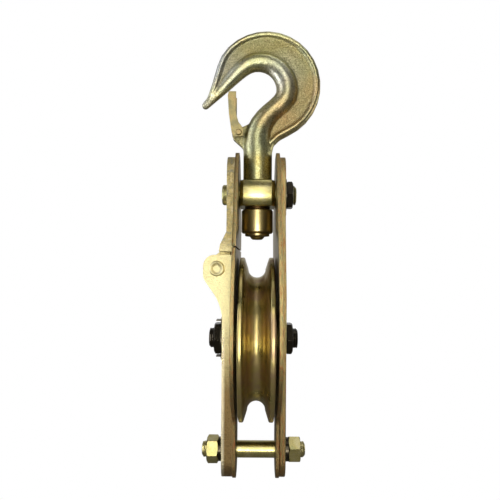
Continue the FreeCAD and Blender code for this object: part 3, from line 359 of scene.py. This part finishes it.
def machined_zinc():
    # machined bar and fasteners, zinc plated and yellow chromated: smooth olive straw with a fine grain,
    # drawn at 0.9 mm so that it shows
    made, tree, place = new_material("machined_yellow_zinc")
    drift = add(tree, "TexNoise", {"Vector": place, "Scale": per_metre(9), "Detail": 3.0})
    grain = add(tree, "TexNoise", {"Vector": place, "Scale": per_metre(0.9), "Detail": 4.0,
                                   "Roughness": 0.6})
    colour = add(tree, "ValToRGB", (drift,), ((0.34, "#A9A673"), (0.5, "#B9AD72"), (0.66, "#C2B888")))
    gloss = add(tree, "MapRange", (grain, 0.3, 0.7, 0.26, 0.32))
    as_metal(tree, colour, gloss, grain, strength=0.1, depth_mm=0.1)
    return made


def black_oxide():
    # blackened steel with an oil film: dark brown-black that only gleams where it faces the light
    made, tree, place = new_material("oiled_black_oxide")
    grain = add(tree, "TexNoise", {"Vector": place, "Scale": per_metre(1.5), "Detail": 4.0})
    colour = laid_over(tree, linear("#34312A"), "#494235", grain, 0.0, 1.0)
    gloss = add(tree, "MapRange", (grain, 0.3, 0.7, 0.18, 0.26))
    as_metal(tree, colour, gloss, grain, strength=0.08, depth_mm=0.1)
    return made


def bronze():
    # cast bearing bronze, dull from oil, its colour darkened as painted shade of the gap under the
    # trunnion where the washer sits
    made, tree, place = new_material("bearing_bronze")
    grain = add(tree, "TexNoise", {"Vector": place, "Scale": per_metre(2), "Detail": 3.0})
    # darker than the bronze itself: painted shade
    colour = laid_over(tree, linear("#584329"), "#46331F", grain, 0.0, 1.0)
    gloss = add(tree, "MapRange", (grain, 0.3, 0.7, 0.36, 0.48))
    as_metal(tree, colour, gloss, grain, strength=0.2, depth_mm=0.1)
    return made


pressed, forged = pressed_zinc(), forged_bar()
own_finish = {"latch": pressed, "latch_rivet": pressed, "left_strap": forged, "arm_strap": forged,
              "hinge_pin": forged}
finish_of = {
    "forged_zinc": forged_zinc(),
    "plate_zinc": plate_zinc(),
    "sheave_zinc": sheave_zinc(),
    "turned_zinc": turned_zinc(),
    "machined_zinc": machined_zinc(),
    "black_oxide": black_oxide(),
    "bronze": bronze(),
}


# Pieces

WELD_MM = 0.002                     # loose corners closer than this are one
FLAT_DEG = 0.5                      # triangles flatter than this to each other are one face
CREASE_DEG = 32                     # edges sharper than this are eased
HOOK_GRID_MM = 0.7                  # cell of the hook's new skin
HOOK_MELT_PASSES = 12
NUT_TURN_DEG = -22                  # how the tie nuts stand, once tightened
BAR_EDGE_MM = 5                     # an edge across a bar is longer than this

# Rounded corners of the lower left bar, in millimetres: how far they lie in from its outer face, how far
# below its top, and their radius
BAR_ROUNDS = (
    ((-1.0, 1.5), (19.0, 24.0), 7.0),       # the cam that the ears end in
    ((14.0, 20.0), (40.0, 50.0), 12.0),     # where the ears run out into the bar
)

# Small round on every corner of a piece, in millimetres
ROUNDS = {
    "latch": 0.4, "collar_nut": 0.5, "trunnion": 2.8, "trunnion_nut": 0.5, "trunnion_tab_washer": 0.3,
    "right_guard_plate": 0.5, "left_guard_plate": 0.5, "arm_guard_plate": 0.5, "right_strap": 0.8,
    "left_strap": 2.4, "arm_strap": 1.6, "hinge_pin": 0.9, "axle": 0.4, "axle_nut_left": 0.5,
    "axle_nut_right": 0.5, "axle_tab_washer": 0.3, "tie_stud": 0.5, "tie_nut_left": 0.5,
    "tie_nut_right": 0.5, "tie_washer_left": 0.4, "tie_washer_right": 0.4, "sheave": 0.4,
}

# Bare threads: the piece, where the ridge starts along X, how often it goes round, and its radius, in
# millimetres
THREADS = (
    ("trunnion", 34.1, 0.7, 8.8),
    ("axle", 34.6, 1.5, 9.0),
    ("axle", -43.0, 1.4, 9.0),
    ("tie_stud", 42.5, 1.2, 7.0),
    ("tie_stud", -49.1, 1.2, 7.0),
)
THREAD_PITCH_MM = 2.0
THREAD_RISE_MM = 0.3                # how far the ridge stands out of the plain cylinder, and reaches in
THREAD_FOOT = 0.42                  # half the ridge's foot as a share of the pitch
THREAD_STEPS = 36                   # steps of the ridge in one turn


def finish_for(name):
    """The finish of a CAD node: its own one, or else the one of its slot."""
    return own_finish.get(name, finish_of[slot_of[name]])


def dressed(name, piece):
    """Gives a new piece the finish and the body of the CAD node that it stands for."""
    piece.data.materials.clear()
    piece.data.materials.append(finish_for(name))
    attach(piece, body_of[name])
    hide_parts(name)


def copied(name):
    """Copy of a CAD node as a bmesh, its loose triangles joined."""
    bm = bmesh.new()
    bm.from_mesh(nodes[name].data)
    bmesh.ops.remove_doubles(bm, verts=bm.verts, dist=WELD_MM * MM)
    return bm


def to_piece(bm, label):
    """Object made of a bmesh, which it uses up."""
    mesh = bpy.data.meshes.new(label)
    bm.to_mesh(mesh)
    bm.free()
    piece = bpy.data.objects.new(label, mesh)
    bpy.context.scene.collection.objects.link(piece)
    return piece


def forge_hook():
    """The hook with its creases melted together as forging leaves them."""
    piece = to_piece(copied("hook"), "forged_hook")
    skin = piece.modifiers.new("skin", "REMESH")
    skin.mode = "VOXEL"
    skin.voxel_size = HOOK_GRID_MM * MM
    skin.use_smooth_shade = True
    melt = piece.modifiers.new("melt", "SMOOTH")
    melt.factor = 0.5
    melt.iterations = HOOK_MELT_PASSES
    dressed("hook", piece)


def is_across(edge):
    """True for an edge that runs along Y for the bar's whole width."""
    run = edge.verts[1].co - edge.verts[0].co
    return abs(run.x) + abs(run.z) < 0.01 * MM and abs(run.y) > BAR_EDGE_MM * MM


def shape_by_hand(bm, name):
    """The few changes that the plain solid leaves to the eye."""
    low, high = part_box(name)
    if name in ("tie_nut_left", "tie_nut_right"):
        turn = Matrix.Rotation(math.radians(NUT_TURN_DEG), 3, "X")
        bmesh.ops.rotate(bm, cent=(low + high) / 2, matrix=turn, verts=bm.verts)
    if name == "left_strap":
        for (in_from, in_to), (down_from, down_to), round_mm in BAR_ROUNDS:
            corner = [edge for edge in bm.edges if is_across(edge)
                      and in_from * MM < edge.verts[0].co.x - low.x < in_to * MM
                      and down_from * MM < high.z - edge.verts[0].co.z < down_to * MM]
            bmesh.ops.bevel(bm, geom=corner, offset=round_mm * MM, offset_type="OFFSET", segments=8,
                            profile=0.5, affect="EDGES", material=-1)


def eased(name, round_mm):
    """A hard part with its corners broken by a small round, as tumbling and plating leave them."""
    bm = copied(name)
    bmesh.ops.dissolve_limit(bm, angle_limit=math.radians(FLAT_DEG), verts=bm.verts, edges=bm.edges)
    for face in bm.faces:
        face.smooth = True
    shape_by_hand(bm, name)
    piece = to_piece(bm, "eased_" + name)
    piece.data.set_sharp_from_angle(angle=math.radians(CREASE_DEG))
    corner = piece.modifiers.new("corner", "BEVEL")
    corner.width = round_mm * MM
    corner.segments = 2
    corner.limit_method = "ANGLE"
    corner.angle_limit = math.radians(CREASE_DEG)
    corner.use_clamp_overlap = True
    dressed(name, piece)


def cut_thread(name, start_mm, turns, radius_mm):
    """Helical ridge on the bare end of a stud, a little proud of the plain cylinder it runs round."""
    bm = bmesh.new()
    low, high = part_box(name)
    start = Vector((start_mm * MM, *((low + high) / 2).yz))
    pitch, rise = THREAD_PITCH_MM * MM, THREAD_RISE_MM * MM
    half, foot, crest = THREAD_FOOT * pitch, radius_mm * MM - rise, radius_mm * MM + rise
    corners = [bm.verts.new((start.x + x, start.y, start.z + z))
               for x, z in ((-half, foot), (0, crest), (half, foot))]
    sides = [bm.edges.new((corners[i], corners[(i + 1) % 3])) for i in range(3)]
    bmesh.ops.spin(bm, geom=corners + sides, cent=start, axis=(1, 0, 0),
                   dvec=(pitch / THREAD_STEPS, 0, 0), angle=math.tau * turns,
                   steps=int(THREAD_STEPS * turns), use_merge=False, use_duplicate=False)
    bmesh.ops.holes_fill(bm, edges=[edge for edge in bm.edges if edge.is_boundary], sides=3)
    bmesh.ops.recalc_face_normals(bm, faces=bm.faces)
    piece = to_piece(bm, f"{name}_thread_{'left' if start_mm < 0 else 'right'}")
    piece.data.materials.append(finish_of[slot_of[name]])
    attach(piece, body_of[name])


forge_hook()
for name, round_mm in ROUNDS.items():
    eased(name, round_mm)
for name, start_mm, turns, radius_mm in THREADS:
    cut_thread(name, start_mm, turns, radius_mm)
for name, item in nodes.items():
    if not item.hide_render:
        item.data.materials.clear()
        item.data.materials.append(finish_for(name))


# Studio

FRAME_PX = 500
FOCAL_PX = 455                      # focal length in the photograph's pixels, from its perspective
SENSOR_MM = 36.0
CAMERA_AWAY = 0.430                 # in front of the block's middle plane
CAMERA_HIGH = -0.166
CENTRE_PX = (257.0, 265.0)          # where the camera's axis meets the photograph
ROLL_DEG = 0.4

FLOOR_BELOW = 0.25                  # the block hangs this far above the floor
FLOOR_HALF = 4.0
FLOOR_FADE = (0.25, 0.75)           # distances from under the block over which the floor turns all white
FLOOR_WHITE = 0.82                  # share of white under the block, where its shadow shows
ROOM_LIGHT = 0.14
BACKDROP_LIGHT = 0.6                # the white backdrop as metal sees it
BACKDROP_WAYS = (0.05, 1.0)         # how far back a way points where the backdrop begins and is full

# Lamps: name, place, aim, size, power and tint
LAMPS = (
    ("tall_window", (0.0, -1.2, 0.26), (0.0, 0.0, 0.05), (0.51, 1.12), 5.2, "#FFFDF4"),
    ("low_front", (0.0, -1.0, -0.30), (0.0, 0.0, -0.20), (0.36, 0.29), 3.0, "#FFFDF4"),
    ("left_box", (-1.0, -0.35, 0.55), (0.0, 0.0, 0.0), (0.5, 0.8), 3.8, "#E8EEFF"),
    ("left_strip", (-1.1, -0.15, -0.25), (0.0, 0.0, -0.2), (0.3, 0.8), 5.0, "#F4F6FF"),
    ("right_strip", (1.2, 0.3, -0.15), (0.0, 0.0, -0.18), (0.5, 0.8), 2.4, "#FFFDF4"),
    ("top_box", (0.3, -0.1, 1.1), (0.0, 0.0, -0.16), (0.7, 0.7), 2.0, "#FFFFFF"),
)


def studio_camera():
    """The photograph's camera: close, level but for a slight roll, and shifted to its frame."""
    lens = bpy.data.cameras.new("camera")
    lens.sensor_width = SENSOR_MM
    lens.lens = FOCAL_PX / FRAME_PX * SENSOR_MM
    lens.shift_x = (FRAME_PX / 2 - CENTRE_PX[0]) / FRAME_PX
    lens.shift_y = (CENTRE_PX[1] - FRAME_PX / 2) / FRAME_PX
    lens.clip_start, lens.clip_end = 0.01, 20.0
    camera = bpy.data.objects.new("camera", lens)
    bpy.context.scene.collection.objects.link(camera)
    level = Matrix.Rotation(math.radians(90), 4, "X")
    roll = Matrix.Rotation(math.radians(ROLL_DEG), 4, "Z")
    camera.matrix_world = Matrix.Translation((0, -CAMERA_AWAY, CAMERA_HIGH)) @ level @ roll
    bpy.context.scene.camera = camera


def lamp(label, where, aim, size, power, tint):
    """Soft rectangular lamp that points at a place."""
    light = bpy.data.lights.new(label, "AREA")
    light.shape = "RECTANGLE"
    light.size, light.size_y = size
    light.energy = power
    light.color = linear(tint)[:3]
    item = bpy.data.objects.new(label, light)
    item.location = where
    item.rotation_euler = (Vector(aim) - Vector(where)).to_track_quat("-Z", "Y").to_euler()
    bpy.context.scene.collection.objects.link(item)


def pale_floor():
    """Floor well under the hanging block: white to the camera, but for the block's shadow, and grey as
    a light on the metal."""
    bm = bmesh.new()
    bmesh.ops.create_grid(bm, x_segments=1, y_segments=1, size=FLOOR_HALF)
    bmesh.ops.translate(bm, verts=bm.verts, vec=(0, 0, cad_box[0].z - FLOOR_BELOW))
    floor = to_piece(bm, "floor")
    made, tree, place = new_material("pale_floor")
    to_camera = add(tree, "LightPath").outputs["Is Camera Ray"]
    away = add(tree, "VectorMath", (place,), operation="LENGTH")
    far = add(tree, "MapRange", (away, *FLOOR_FADE, FLOOR_WHITE, 1.0))
    paint = laid_over(tree, linear("#8E8C86"), "#F4F4F2", to_camera, 0.0, 1.0)
    matt = add(tree, "BsdfDiffuse", {"Color": paint})
    white = add(tree, "Emission", {"Color": linear("#FFFFFF"), "Strength": 1.0})
    seen = add(tree, "Math", (to_camera, far), operation="MULTIPLY")
    add(tree, "OutputMaterial", {"Surface": add(tree, "MixShader", (seen, matt, white))})
    floor.data.materials.append(made)


def dim_room():
    """World: white to the camera, and to metal a white backdrop behind the block in a dimmer room."""
    world = bpy.data.worlds.new("studio")
    bpy.context.scene.world = world
    world.use_nodes = True
    tree = world.node_tree
    tree.nodes.clear()
    ray = add(tree, "LightPath").outputs
    way = add(tree, "SeparateXYZ", (add(tree, "TexCoord").outputs["Generated"],))
    behind = add(tree, "MapRange", (way.outputs["Y"], *BACKDROP_WAYS, ROOM_LIGHT, BACKDROP_LIGHT))
    glossy = add(tree, "Math", (ray["Is Glossy Ray"], behind), operation="MULTIPLY")
    clear = add(tree, "Math", (ray["Is Camera Ray"], ray["Is Transmission Ray"]), operation="MAXIMUM")
    shown = add(tree, "Math", (clear, glossy), operation="MAXIMUM")
    strength = add(tree, "Math", (shown, ROOM_LIGHT), operation="MAXIMUM")
    sky = add(tree, "Background", {"Color": linear("#FFFFFF"), "Strength": strength})
    add(tree, "OutputWorld", {"Surface": sky})


studio_camera()
for row in LAMPS:
    lamp(*row)
pale_floor()
dim_room()
bpy.context.scene.view_settings.view_transform = "Standard"
